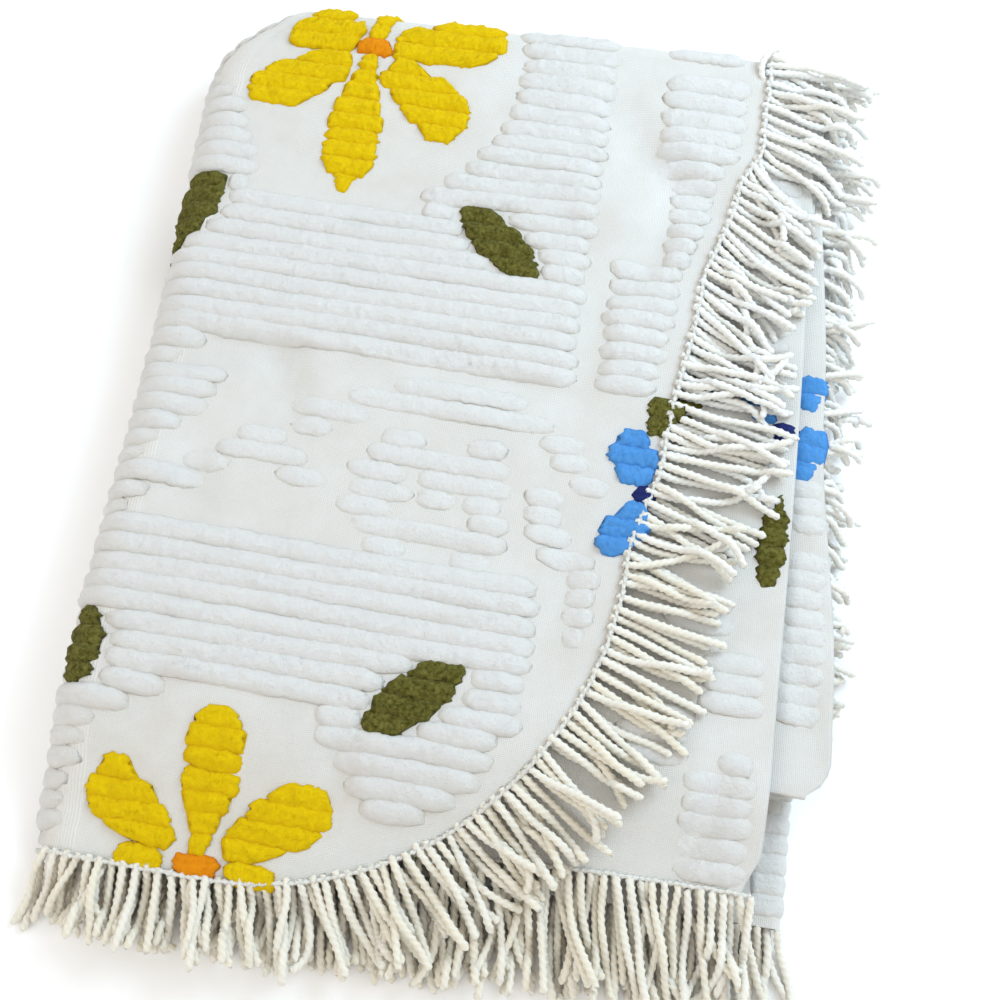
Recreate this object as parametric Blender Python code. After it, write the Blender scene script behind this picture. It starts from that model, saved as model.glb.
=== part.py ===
"""A chenille bedspread folded into a flat bundle, with the fringe on its hems.

The cloth is one sheet. Its length u runs from the foot hem to the head hem and
its width v from one side hem to the other. It is folded four times, each time
in half or nearly so:

    1. across the width, wrong sides together   (fold seen under the front)
    2. along the length                         (fold at the right, low down)
    3. across the width again                   (fold along the back edge)
    4. along the length again                   (fold along the left edge)

That gives sixteen layers. Every fold is the same rule, bend(), with its own
radius, and the four are applied one after the other, so the layers nest and
stay a little apart. settle() then lets the bundle sag as loose cloth does.

Sizes are in millimetres until the mesh is made; the scene is in metres, +Z up.
"""

import math

import bpy

MM = 0.001

# ---- cloth -----------------------------------------------------------------
SHEET = 2.5  # cloth with its tufts pressed down
AIR = 1.5  # between two layers
HEM_GAP = 0.6  # between a hem and the fringe sewn to it, in these solids

# ---- folds, smallest radius first: each wraps what the one before it made ---
R_WIDTH_1 = (SHEET + AIR) / 2
R_LENGTH_1 = 2 * R_WIDTH_1
R_WIDTH_2 = 2 * R_LENGTH_1
R_LENGTH_2 = 2 * R_WIDTH_2
STACK = 16 * SHEET + 15 * AIR

# ---- outline of the bundle, seen from above --------------------------------
LEFT_EDGE = -272.0
BACK_EDGE = 391.0
TOP_FRONT_HEM = -285.0  # side hem of the top layer
INNER_FRONT_FOLD = -172.0  # first width fold, set back under the top layers
LOW_RIGHT_FOLD = 221.0  # first length fold
HALF = STACK / 2
X_TURN = LEFT_EDGE + HALF  # axis of the left fold
Y_TURN = BACK_EDGE - (R_WIDTH_2 + R_LENGTH_1 + R_WIDTH_1 + SHEET / 2)

# Straight cloth before each fold begins.
TOP_REACH = 158.0  # foot hem of the top layer, at the back
RUN_LENGTH_2 = TOP_REACH - X_TURN
RUN_LENGTH_1 = (
    RUN_LENGTH_2
    + math.pi * R_LENGTH_2
    + LOW_RIGHT_FOLD
    - X_TURN
    - (R_LENGTH_1 + R_WIDTH_1 + SHEET / 2)
)
RUN_WIDTH_2 = Y_TURN - TOP_FRONT_HEM
RUN_WIDTH_1 = (
    RUN_WIDTH_2
    + math.pi * R_WIDTH_2
    + Y_TURN
    - INNER_FRONT_FOLD
    - (R_WIDTH_1 + SHEET / 2)
)
LENGTH = 2 * RUN_LENGTH_1 + math.pi * R_LENGTH_1  # up to the head, where x is TOP_REACH
WIDTH = 2 * RUN_WIDTH_1 + math.pi * R_WIDTH_1

# ---- hems ------------------------------------------------------------------
CORNER_R = 262.0  # rounded foot corner
CORNER_X = -155.0  # where the corner runs into the side hem

# Foot hem: where it lies in the bundle, by its distance from the side hem.
FOOT_HEM = (
    # place,               from side hem, x in the bundle
    ("end of the corner", CORNER_R, 107.0),
    ("middle of the top", 470.0, 122.0),
    ("near the back", 560.0, 142.0),
    ("at the back", 600.0, 157.0),
    ("back fold", RUN_WIDTH_2, TOP_REACH),
    ("under, at the back", RUN_WIDTH_2 + 60.0, 172.0),
    ("under, at the front", RUN_WIDTH_1, 179.0),
)

# Head hem: no fringe and square corners. Columns as above, over the full width.
HEAD_HEM = (
    ("lower copy, front", 0.0, 190.0),
    ("lower copy, back", RUN_WIDTH_2, 202.0),
    ("third layer, back", RUN_WIDTH_2 + 90.0, 214.0),
    ("third layer, front", RUN_WIDTH_1, 244.0),
    ("fourth layer, front", WIDTH - RUN_WIDTH_1, 242.0),
    ("fourth layer, back", WIDTH - RUN_WIDTH_2 - 90.0, 212.0),
    ("second layer, back", WIDTH - RUN_WIDTH_2, 203.0),
    ("second layer, middle", WIDTH - 330.0, 205.0),
    ("second layer, front", WIDTH - 60.0, 205.0),
    ("second layer, corner", WIDTH, 197.0),
)

# Side hems: how far each stops short of the top layer's, along the length.
SIDE_HEM = (
    # place,             u,                                    short by
    ("foot", 0.0, 0.0),
    ("left, top", RUN_LENGTH_2, 0.0),
    ("left, bottom", RUN_LENGTH_2 + math.pi * R_LENGTH_2, 14.0),
    ("low right fold", LENGTH / 2, 34.0),
    ("left, inside", LENGTH - RUN_LENGTH_2 - math.pi * R_LENGTH_2, 20.0),
    ("left, second", LENGTH - RUN_LENGTH_2, 24.0),
    ("head", LENGTH, 46.0),
)
SIDE_ZONE = 116.0  # width of cloth that takes up the difference

# ---- how the bundle settles ------------------------------------------------
SAG = 29.0  # top layers drop over the set-back front folds
SAG_FROM, SAG_OVER = -150.0, 110.0
SAG_LOW, SAG_HIGH = 15.0, 47.0  # heights between which the sag grows
RIB_SLANT = 0.03  # rows run slightly off the back fold
SOFT_CORNER = 44.0  # back left corner, pulled in

# Middle of the bundle's outline, fringe included: the origin is under it.
MIDDLE = (-1.18, 18.74)

# ---- fringe ----------------------------------------------------------------
BAND = 5.0
TOOTH = 78.0
TOOTH_PITCH = 24.0
TOOTH_SHARE = 0.6
TOOTH_THICK = 4.6


def ease(t):
    t = min(1.0, max(0.0, t))
    return t * t * (3 - 2 * t)


def along(table, at):
    """The last column of a table, eased between its rows."""
    if at <= table[0][1]:
        return table[0][2]
    for (_, a, before), (_, b, after) in zip(table, table[1:]):
        if at <= b:
            return before + (after - before) * ease((at - a) / (b - a))
    return table[-1][2]


def bend(s, out, run, radius):
    """A point s along a strip and out from it, folded back after a straight run."""
    turn = (s - run) / radius
    if turn <= 0:
        return s, out + radius
    if turn >= math.pi:
        return run - (s - run - math.pi * radius), -(out + radius)
    reach = radius + out
    return run + reach * math.sin(turn), reach * math.cos(turn)


def folded(u, v, out):
    """Where a point of the flat cloth lies in the neat folded stack."""
    y, h = bend(v, out, RUN_WIDTH_1, R_WIDTH_1)
    x, h = bend(u, h, RUN_LENGTH_1, R_LENGTH_1)
    y, h = bend(y, h, RUN_WIDTH_2, R_WIDTH_2)
    x, h = bend(x, h, RUN_LENGTH_2, R_LENGTH_2)
    return TOP_REACH - x, TOP_FRONT_HEM + y, HALF + h


def settle(x, y, z):
    """The neat stack let go: sagging fronts, a soft corner and slack rows."""
    raised = min(1.0, max(0.0, (z - SAG_LOW) / (SAG_HIGH - SAG_LOW)))
    z -= SAG * ease((SAG_FROM - y) / SAG_OVER) * raised
    z *= 1 - 0.55 * ease((-245 - y) / 115)
    z *= 1 - 0.62 * ease((x - 244) / 42)
    z *= 1 + 0.035 * math.sin(x / 95 + 0.6) * math.sin(y / 120 - 0.4)
    if y < TOP_FRONT_HEM:
        y = TOP_FRONT_HEM + 0.72 * (y - TOP_FRONT_HEM)
    y -= RIB_SLANT * (x - LEFT_EDGE) * (1 - ease((y - 290) / 100))
    near_back = ease((y - 312) / 80) ** 2
    near_left = 1 - ease((x - LEFT_EDGE) / 160)
    x += SOFT_CORNER * near_back * near_left
    x += 2.0 * math.sin(y / 75 + 0.5) * (1 - ease((x + 200) / 200))
    return x, y, z


def place(u, v, out):
    x, y, z = settle(*folded(u, v, out))
    return (x - MIDDLE[0]) * MM, (y - MIDDLE[1]) * MM, z * MM


def foot_x(v):
    """Where the foot hem lies at a distance v from either side hem."""
    v = min(v, WIDTH - v)
    if v < CORNER_R:
        return CORNER_X + math.sqrt(max(0.0, CORNER_R**2 - (CORNER_R - v) ** 2))
    return along(FOOT_HEM, v)


def side_trim(u, v):
    """Moves a row near a side hem in, to where that hem lies."""
    short = along(SIDE_HEM, u)
    near = min(v, WIDTH - v)
    if near >= SIDE_ZONE:
        return v
    moved = near + short * (1 - near / SIDE_ZONE)
    return moved if v < WIDTH / 2 else WIDTH - moved


def arc_stops(run, radius, parts):
    return [run + math.pi * radius * k / parts for k in range(parts + 1)]


def width_rows():
    """Distances v of the rows of the mesh. Stacked layers share their rows."""
    front = [TOP_FRONT_HEM + d for d in (0, 10, 29, 56, 86)]
    shared = [-169.0, -110.0, -40.0, 50.0, 140.0, 230.0, 305.0, 345.0]
    rows = [y - TOP_FRONT_HEM for y in front + shared]
    rows += arc_stops(RUN_WIDTH_2, R_WIDTH_2, 4)
    past = RUN_WIDTH_2 + math.pi * R_WIDTH_2
    rows += [past + Y_TURN - y for y in reversed(shared[1:])]
    rows += arc_stops(RUN_WIDTH_1, R_WIDTH_1, 3)[:2]
    return rows + [WIDTH - v for v in reversed(rows)]


def length_columns():
    """Columns as (u, share): share is how far a top column is towards its hem."""
    shared = [-195.0, -140.0, -50.0, 50.0, 140.0]
    ends = [(0.0, share) for share in (1.0, 0.8, 0.6, 0.4, 0.23, 0.1)]
    turn = [(u, 0.0) for u in arc_stops(RUN_LENGTH_2, R_LENGTH_2, 5)]
    past = turn[-1][0]
    low = [(past + x - X_TURN, 0.0) for x in shared]
    last = [(u, 0.0) for u in arc_stops(RUN_LENGTH_1, R_LENGTH_1, 3)[:2]]
    foot = ends + turn + low + last
    head = [(LENGTH - u, -share) for u, share in reversed(foot)]
    return foot + head


def cloth_point(column, v):
    """The flat (u, v) of a mesh point, with its hem's outline applied."""
    u, share = column
    if share > 0:
        hem = TOP_REACH - foot_x(v)
        u = RUN_LENGTH_2 + (hem - RUN_LENGTH_2) * share
    elif share < 0:
        hem = LENGTH - (TOP_REACH - along(HEAD_HEM, v))
        start = LENGTH - RUN_LENGTH_2
        u = start + (hem - start) * -share
    return u, side_trim(u, v)


def solid_from(name, points, quads, thick, out, material):
    """A closed solid: quads over flat points, thickened along out and folded."""
    upper = [place(u, v, out + thick / 2) for u, v in points]
    lower = [place(u, v, out - thick / 2) for u, v in points]
    count = len(points)
    faces = [tuple(q) for q in quads]
    faces += [tuple(i + count for i in reversed(q)) for q in quads]
    edges = set()
    for q in quads:
        edges.update(zip(q, q[1:] + q[:1]))
    for a, b in sorted(edges):
        if (b, a) not in edges:
            faces.append((b, a, a + count, b + count))
    mesh = bpy.data.meshes.new(name)
    mesh.from_pydata(upper + lower, [], faces)
    mesh.validate()
    mesh.materials.append(material)
    obj = bpy.data.objects.new(name, mesh)
    bpy.context.scene.collection.objects.link(obj)
    return obj


def make_cloth(material):
    rows, columns = width_rows(), length_columns()
    points = [cloth_point(column, v) for v in rows for column in columns]
    wide = len(columns)
    quads = [
        [j * wide + i, (j + 1) * wide + i, (j + 1) * wide + i + 1, j * wide + i + 1]
        for j in range(len(rows) - 1)
        for i in range(wide - 1)
    ]
    return solid_from("bedspread_cloth", points, quads, SHEET, 0.0, material)


def outward(a, b):
    """Unit normal of a hem piece, to the right of its run."""
    du, dv = b[0] - a[0], b[1] - a[1]
    size = math.hypot(du, dv)
    return dv / size, -du / size


def make_comb(name, hem, out, thick, joints, material, lay=None):
    """One comb along a hem: a band, with teeth square to it or along lay."""
    points, quads = [], []
    normals = [outward(a, b) for a, b in zip(hem, hem[1:])]
    mitres = [normals[0]]
    for (au, av), (bu, bv) in zip(normals, normals[1:]):
        share = 1 + au * bu + av * bv
        mitres.append(((au + bu) / share, (av + bv) / share))
    mitres.append(normals[-1])

    def ridge(at, normal, distances):
        first = len(points)
        points.extend((at[0] + normal[0] * d, at[1] + normal[1] * d) for d in distances)
        return first

    base = (HEM_GAP, HEM_GAP + BAND)
    before = ridge(hem[0], mitres[0], base)
    for k, (a, b) in enumerate(zip(hem, hem[1:])):
        size = math.dist(a, b)
        teeth = int(size / TOOTH_PITCH + 0.5)
        stops = []
        for t in range(teeth):
            middle = (t + 0.5) / teeth
            half = 0.5 * TOOTH_SHARE / teeth
            stops += [(middle - half, t), (middle + half, t)]
        for n, (share, t) in enumerate(stops + [(1.0, None)]):
            at = (a[0] + (b[0] - a[0]) * share, a[1] + (b[1] - a[1]) * share)
            normal = mitres[k + 1] if t is None else normals[k]
            here = ridge(at, normal, base)
            quads.append([before, here, here + 1, before + 1])
            if n % 2 == 1:
                reach = TOOTH * (1 + 0.1 * math.sin(2.4 * len(points)))
                left, right = points[before + 1], points[here + 1]
                du, dv = lay or normal
                near = (before + 1, here + 1)
                for joint in range(1, joints + 1):
                    far = joint / joints
                    first = len(points)
                    for p, q in ((left, right), (right, left)):
                        narrow = 0.14 * far
                        points.append(
                            (
                                p[0] + (q[0] - p[0]) * narrow + du * reach * far,
                                p[1] + (q[1] - p[1]) * narrow + dv * reach * far,
                            )
                        )
                    quads.append([*near, first + 1, first])
                    near = (first, first + 1)
            before = here
    return solid_from(name, points, quads, thick, out, material)


def cloth_fabric(name, colour):
    material = bpy.data.materials.new(name)
    material.use_nodes = True
    shader = material.node_tree.nodes["Principled BSDF"]
    shader.inputs["Base Color"].default_value = (*colour, 1)
    shader.inputs["Roughness"].default_value = 0.95
    shader.inputs["Metallic"].default_value = 0.0
    material.diffuse_color = (*colour, 1)
    return material


def main():
    for obj in list(bpy.data.objects):
        bpy.data.objects.remove(obj, do_unlink=True)
    ground = cloth_fabric("chenille_white", (0.84, 0.84, 0.83))
    cord = cloth_fabric("fringe_cord", (0.78, 0.76, 0.70))
    make_cloth(ground)

    rows, columns = width_rows(), length_columns()
    tip = columns[0]
    past = RUN_WIDTH_2 + math.pi * R_WIDTH_2
    under = -R_WIDTH_1  # between two layers that lie wrong sides together

    # The top layers' hem: from the left fold, round the corner, to the back fold.
    corner = [cloth_point(tip, v) for v in rows if v <= RUN_WIDTH_2 + 1e-6]
    hem = [(RUN_LENGTH_2, 0.0), *corner]
    make_comb("fringe_top", hem[::-1], under, TOOTH_THICK, 2, cord)

    # The foot hem of the layers folded under: its cords stick out at the right.
    low = [cloth_point(tip, v) for v in rows if past - 1e-6 <= v <= RUN_WIDTH_1 + 1e-6]
    make_comb("fringe_right", low[::-1], under, TOOTH_THICK, 2, cord, lay=(-1.0, 0.0))

    # The second layers' side hem, at the front, up to the head hem.
    head = [cloth_point(column, 0.0) for column in columns if column[1] < 0]
    second = [(LENGTH - RUN_LENGTH_2, side_trim(LENGTH - RUN_LENGTH_2, 0.0)), *head]
    make_comb("fringe_front", second, under, TOOTH_THICK, 2, cord)

    # The four lowest layers' side hems, at the front, as one comb.
    low_run = [
        u
        for u, share in columns
        if share == 0 and RUN_LENGTH_2 + math.pi * R_LENGTH_2 - 1e-6 <= u <= RUN_LENGTH_1
    ]
    base = [(u, side_trim(u, 0.0)) for u in low_run]
    make_comb("fringe_base", base, 3 * under, 2 * TOOTH_THICK, 1, cord)


main()
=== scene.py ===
"""Visual model of a chenille bedspread folded into a flat bundle.

The cloth, its tufted rows and its fringe all go through the same four folds as
the solids in the frame. Lengths are millimetres until a mesh is made.

Places on the bundle are charted as X, Y: X to the right and Y to the back, on
the neat folded stack before it settles. T is the top layer, S the second, U
the third (its end shows past S), and V the lowest fold at the right.
"""

import math

import bpy
import numpy as np
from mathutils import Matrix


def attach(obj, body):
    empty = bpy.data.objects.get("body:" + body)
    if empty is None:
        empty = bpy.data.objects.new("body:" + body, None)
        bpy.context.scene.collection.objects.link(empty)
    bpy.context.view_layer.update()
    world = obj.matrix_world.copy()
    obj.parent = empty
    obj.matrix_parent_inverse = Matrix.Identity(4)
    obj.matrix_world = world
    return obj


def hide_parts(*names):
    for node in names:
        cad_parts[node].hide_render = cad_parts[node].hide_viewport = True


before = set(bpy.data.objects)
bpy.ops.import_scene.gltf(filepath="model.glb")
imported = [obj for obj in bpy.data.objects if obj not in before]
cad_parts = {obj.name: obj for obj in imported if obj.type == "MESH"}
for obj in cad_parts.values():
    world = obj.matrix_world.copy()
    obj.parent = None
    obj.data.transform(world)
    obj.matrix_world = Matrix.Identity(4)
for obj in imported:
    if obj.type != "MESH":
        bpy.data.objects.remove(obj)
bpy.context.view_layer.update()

# ============================================================ the folded sheet
SHEET, AIR = 2.5, 1.5
R_W1 = (SHEET + AIR) / 2
R_L1, R_W2, R_L2 = 2 * R_W1, 4 * R_W1, 8 * R_W1
HALF = (16 * SHEET + 15 * AIR) / 2
LEFT, BACK, FRONT = -272.0, 391.0, -285.0
INNER_FRONT, LOW_RIGHT, TOP_REACH = -159.0, 221.0, 158.0
X_TURN = LEFT + HALF
Y_TURN = BACK - (R_W2 + R_L1 + R_W1 + SHEET / 2)
RUN_L2 = TOP_REACH - X_TURN
RUN_L1 = RUN_L2 + math.pi * R_L2 + LOW_RIGHT - X_TURN - (R_L1 + R_W1 + SHEET / 2)
RUN_W2 = Y_TURN - FRONT
RUN_W1 = RUN_W2 + math.pi * R_W2 + Y_TURN - INNER_FRONT - (R_W1 + SHEET / 2)
LENGTH = 2 * RUN_L1 + math.pi * R_L1
WIDTH = 2 * RUN_W1 + math.pi * R_W1
ARC_L2, ARC_W2 = math.pi * R_L2, math.pi * R_W2

HEM_IN = 13.0
CORNER_R, CORNER_X = 247.0, -156.0
FOOT_HEM = (
    (HEM_IN + CORNER_R, CORNER_X + CORNER_R),
    (345.0, 108.0),
    (470.0, 122.0),
    (560.0, 142.0),
    (600.0, 157.0),
    (RUN_W2, TOP_REACH),
    (RUN_W2 + 60.0, 172.0),
    (RUN_W1, 179.0),
)
HEAD_HEM = (
    (0.0, 190.0),
    (RUN_W2, 202.0),
    (RUN_W2 + 60.0, 205.0),
    (RUN_W2 + 280.0, 219.0),
    (RUN_W1 - 60.0, 238.0),
    (RUN_W1 - 20.0, 239.0),
    (RUN_W1 - 6.0, 233.0),
    (RUN_W1, 224.0),
    (WIDTH - RUN_W1, 223.0),
    (WIDTH - RUN_W1 + 6.0, 232.0),
    (WIDTH - RUN_W1 + 20.0, 237.0),
    (WIDTH - RUN_W1 + 60.0, 236.0),
    (WIDTH - RUN_W2 - 280.0, 217.0),
    (WIDTH - RUN_W2 - 60.0, 203.0),
    (WIDTH - RUN_W2, 198.0),
    (WIDTH - 330.0, 201.0),
    (WIDTH - 60.0, 199.0),
    (WIDTH, 190.0),
)
SIDE_HEM = (
    (0.0, HEM_IN),
    (RUN_L2, HEM_IN),
    (RUN_L2 + ARC_L2, 26.0),
    (LENGTH / 2, 46.0),
    (LENGTH - RUN_L2 - ARC_L2, 34.0),
    (LENGTH - RUN_L2, 38.0),
    (LENGTH, 62.0),
)
SIDE_ZONE = 116.0
MIDDLE = (-1.18, 18.74)


def ease(t):
    t = np.clip(t, 0.0, 1.0)
    return t * t * (3 - 2 * t)


def along(table, at):
    at = np.asarray(at, float)
    out = np.full(at.shape, float(table[0][1]))
    for (a, before), (b, after) in zip(table, table[1:]):
        out = np.where(at > a, before + (after - before) * ease((at - a) / (b - a)), out)
    return out


def bend(s, out, run, radius):
    turn = (s - run) / radius
    reach = radius + out
    angle = np.clip(turn, 0, math.pi)
    at = np.where(turn >= math.pi, run - (s - run - math.pi * radius), run + reach * np.sin(angle))
    up = np.where(turn >= math.pi, -reach, reach * np.cos(angle))
    return np.where(turn <= 0, s, at), np.where(turn <= 0, reach, up)


def folded(u, v, out):
    y, h = bend(v, out, RUN_W1, R_W1)
    x, h = bend(u, h, RUN_L1, R_L1)
    y, h = bend(y, h, RUN_W2, R_W2)
    x, h = bend(x, h, RUN_L2, R_L2)
    return TOP_REACH - x, FRONT + y, HALF + h


# Soft troughs and ridges: ends, half width, and height (down is negative).
CREASES = (
    (-250, 74, -172, 92, 15, -4.5),
    (-182, 92, -150, 46, 13, -3.0),
    (-228, 30, -196, -36, 15, -2.5),
    (44, 332, 122, 262, 15, -4.5),
    (14, 268, 74, 226, 17, 2.0),
    (104, 246, 62, 186, 14, -4.0),
    (48, 178, 44, 96, 13, -2.5),
    (-96, 98, 22, 96, 11, -2.0),
    (-40, 66, 30, 34, 17, 1.5),
    (-236, -240, -204, -158, 14, -3.0),
    (-92, -228, -72, -166, 14, -2.5),
    (60, -4, 44, -112, 15, -3.5),
    (-60, -36, 6, -44, 12, -2.0),
    (-160, 226, -60, 232, 15, -2.0),
    (-12, -246, 40, -196, 15, -3.0),
    (128, -236, 166, -160, 12, -6.0),
    (150, -64, 176, -20, 13, -3.0),
    (226, -150, 214, -60, 9, -2.0),
)


def creases(x, y):
    total = np.zeros(np.broadcast(x, y).shape)
    for k, (x0, y0, x1, y1, wide, high) in enumerate(CREASES):
        dx, dy = x1 - x0, y1 - y0
        t = np.clip(((x - x0) * dx + (y - y0) * dy) / (dx * dx + dy * dy), 0, 1)
        bow = 5 * np.sin(3.1 * t + k)
        far = np.hypot(x - x0 - t * dx + bow * dy / math.hypot(dx, dy),
                       y - y0 - t * dy - bow * dx / math.hypot(dx, dy))
        total = total + high * (0.6 + 0.4 * np.sin(math.pi * t)) * np.exp(-((far / wide) ** 2))
    return total


def settle(x, y, z):
    z = z * (1 + 2.0 * creases(x, y) / 60.0)
    raised = np.clip((z - 15.0) / 32.0, 0, 1)
    z = z - 29.0 * ease((-150.0 - y) / 110.0) * raised
    z = z * (1 - 0.55 * ease((-245 - y) / 115))
    z = z * (1 - 0.62 * ease((x - 244) / 42))
    z = z * (1 + 0.035 * np.sin(x / 95 + 0.6) * np.sin(y / 120 - 0.4))
    y = np.where(y < FRONT, FRONT + 0.72 * (y - FRONT), y)
    y = y - 0.03 * (x - LEFT) * (1 - ease((y - 290) / 100))
    x = x + 44.0 * ease((y - 312) / 80) ** 2 * (1 - ease((x - LEFT) / 160))
    x = x + 2.0 * np.sin(y / 75 + 0.5) * (1 - ease((x + 200) / 200))
    return x, y, z


def place(u, v, out):
    """Flat cloth (u, v, out) to its place in the bundle, n x 3, in millimetres."""
    u, v, out = np.broadcast_arrays(
        np.asarray(u, float), np.asarray(v, float), np.asarray(out, float)
    )
    x, y, z = settle(*folded(u, v, out))
    return np.stack([x - MIDDLE[0], y - MIDDLE[1], z], -1)


def foot_x(v):
    v = np.minimum(v, WIDTH - v) - HEM_IN
    corner = CORNER_X + np.sqrt(np.maximum(0.0, CORNER_R**2 - (CORNER_R - v) ** 2))
    return np.where(v < CORNER_R, corner, along(FOOT_HEM, v + HEM_IN))


def side_trim(u, v):
    near = np.minimum(v, WIDTH - v)
    moved = near + along(SIDE_HEM, u) * np.maximum(0, 1 - near / SIDE_ZONE)
    moved = np.where(near < SIDE_ZONE, moved, near)
    return np.where(v < WIDTH / 2, moved, WIDTH - moved)


# Flat cloth under a charted place, layer by layer.
def on_t(x, y):
    return TOP_REACH - x, y - FRONT


def on_s(x, y):
    return LENGTH - (TOP_REACH - x), WIDTH - (y - FRONT)


def on_u(x, y):
    return LENGTH - (TOP_REACH - x), RUN_W2 + ARC_W2 + (Y_TURN - y)


# ================================================================== small tools
def noise(a, b, seed):
    """Smooth noise from -1 to 1 with a grain of 1."""
    table = np.random.default_rng(seed).uniform(-1, 1, (128, 128))
    a, b = np.broadcast_arrays(np.asarray(a, float), np.asarray(b, float))
    i, j = np.floor(a).astype(int), np.floor(b).astype(int)
    s, t = a - i, b - j
    s, t = s * s * (3 - 2 * s), t * t * (3 - 2 * t)
    at = lambda p, q: table[p % 128, q % 128]
    low = at(i, j) * (1 - s) + at(i + 1, j) * s
    high = at(i, j + 1) * (1 - s) + at(i + 1, j + 1) * s
    return low * (1 - t) + high * t


def make_piece(name, points, faces, material, uv=None, values=None, smooth=True):
    """A mesh object from points in millimetres."""
    mesh = bpy.data.meshes.new(name)
    mesh.from_pydata((np.asarray(points) * 0.001).tolist(), [], faces)
    mesh.update()
    if smooth:
        mesh.shade_smooth()
    if uv is not None:
        index = np.empty(len(mesh.loops), np.int32)
        mesh.loops.foreach_get("vertex_index", index)
        layer = mesh.uv_layers.new(name="flat_cloth")
        layer.data.foreach_set("uv", np.asarray(uv, np.float32)[index].ravel())
    for key, value in (values or {}).items():
        layer = mesh.attributes.new(key, "FLOAT", "POINT")
        layer.data.foreach_set("value", np.asarray(value, np.float32).ravel())
    mesh.materials.append(material)
    obj = bpy.data.objects.new(name, mesh)
    bpy.context.scene.collection.objects.link(obj)
    return obj


def grid_faces(rows, columns, start=0, wrap=False):
    faces = []
    span = columns if wrap else columns - 1
    for j in range(rows - 1):
        a = start + j * columns
        for i in range(span):
            k = (i + 1) % columns
            faces.append((a + i, a + k, a + columns + k, a + columns + i))
    return faces


# =================================================================== materials
class Nodes:
    """Short hand for building a material's nodes."""

    def __init__(self, name):
        self.material = bpy.data.materials.new(name)
        self.material.use_nodes = True
        self.tree = self.material.node_tree
        self.shader = self.tree.nodes["Principled BSDF"]

    def add(self, kind, **settings):
        node = self.tree.nodes.new(kind)
        for key, value in settings.items():
            if hasattr(node, key):
                setattr(node, key, value)
            else:
                node.inputs[key].default_value = value
        return node

    def join(self, source, target):
        self.tree.links.new(source, target)

    def attribute(self, name):
        return self.add("ShaderNodeAttribute", attribute_name=name).outputs["Fac"]

    def grain(self, scale, detail=3.0, rough=0.6, vector=None):
        node = self.add("ShaderNodeTexNoise")
        node.inputs["Scale"].default_value = scale
        node.inputs["Detail"].default_value = detail
        node.inputs["Roughness"].default_value = rough
        if vector is not None:
            self.join(vector, node.inputs["Vector"])
        return node.outputs["Fac"]

    def blend(self, factor, low, high, kind="MIX"):
        node = self.add("ShaderNodeMix", data_type="RGBA", blend_type=kind)
        self.join(factor, node.inputs[0])
        for socket, value in ((node.inputs[6], low), (node.inputs[7], high)):
            if isinstance(value, tuple):
                socket.default_value = (*value, 1)
            else:
                self.join(value, socket)
        return node.outputs[2]

    def ramp(self, factor, low, high):
        node = self.add("ShaderNodeMapRange")
        node.inputs["From Min"].default_value = low
        node.inputs["From Max"].default_value = high
        self.join(factor, node.inputs["Value"])
        return node.outputs["Result"]

    def maths(self, kind, a, b):
        node = self.add("ShaderNodeMath", operation=kind)
        for socket, value in zip(node.inputs, (a, b)):
            if isinstance(value, (int, float)):
                socket.default_value = value
            else:
                self.join(value, socket)
        return node.outputs[0]

    def bump(self, height, distance, strength=1.0, normal=None):
        node = self.add("ShaderNodeBump")
        node.inputs["Strength"].default_value = strength
        node.inputs["Distance"].default_value = distance
        self.join(height, node.inputs["Height"])
        if normal is not None:
            self.join(normal, node.inputs["Normal"])
        return node.outputs["Normal"]


def object_space(n):
    return n.add("ShaderNodeTexCoord").outputs["Object"]


def muslin():
    n = Nodes("muslin_ground")
    uv = n.add("ShaderNodeUVMap", uv_map="flat_cloth").outputs["UV"]
    split = n.add("ShaderNodeSeparateXYZ")
    n.join(uv, split.inputs[0])
    threads = []
    for axis, pitch in (("X", 0.00125), ("Y", 0.00125)):
        wobble = n.maths("MULTIPLY", n.grain(90, 2, 0.5, uv), 0.0012)
        along_axis = n.maths("ADD", split.outputs[axis], wobble)
        turns = n.maths("MULTIPLY", along_axis, 2 * math.pi / pitch)
        threads.append(n.maths("SINE", turns, 0.0))
    weave = n.maths("MAXIMUM", threads[0], n.maths("MULTIPLY", threads[1], 0.8))
    slub = n.grain(420, 4, 0.7, uv)
    soft = n.grain(26, 4, 0.6, object_space(n))
    tone = n.blend(n.ramp(soft, 0.3, 0.7), (0.70, 0.68, 0.64), (0.76, 0.755, 0.735))
    holes = n.ramp(weave, -0.9, 0.2)
    colour = n.blend(holes, (0.655, 0.625, 0.565), tone)
    n.join(colour, n.shader.inputs["Base Color"])
    n.shader.inputs["Roughness"].default_value = 0.92
    n.shader.inputs["Specular IOR Level"].default_value = 0.15
    n.shader.inputs["Sheen Weight"].default_value = 0.15
    n.shader.inputs["Sheen Roughness"].default_value = 0.6
    normal = n.bump(soft, 0.0012, 0.5)
    normal = n.bump(slub, 0.0003, 0.6, normal)
    normal = n.bump(weave, 0.00022, 0.9, normal)
    n.join(normal, n.shader.inputs["Normal"])
    return n.material


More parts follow.
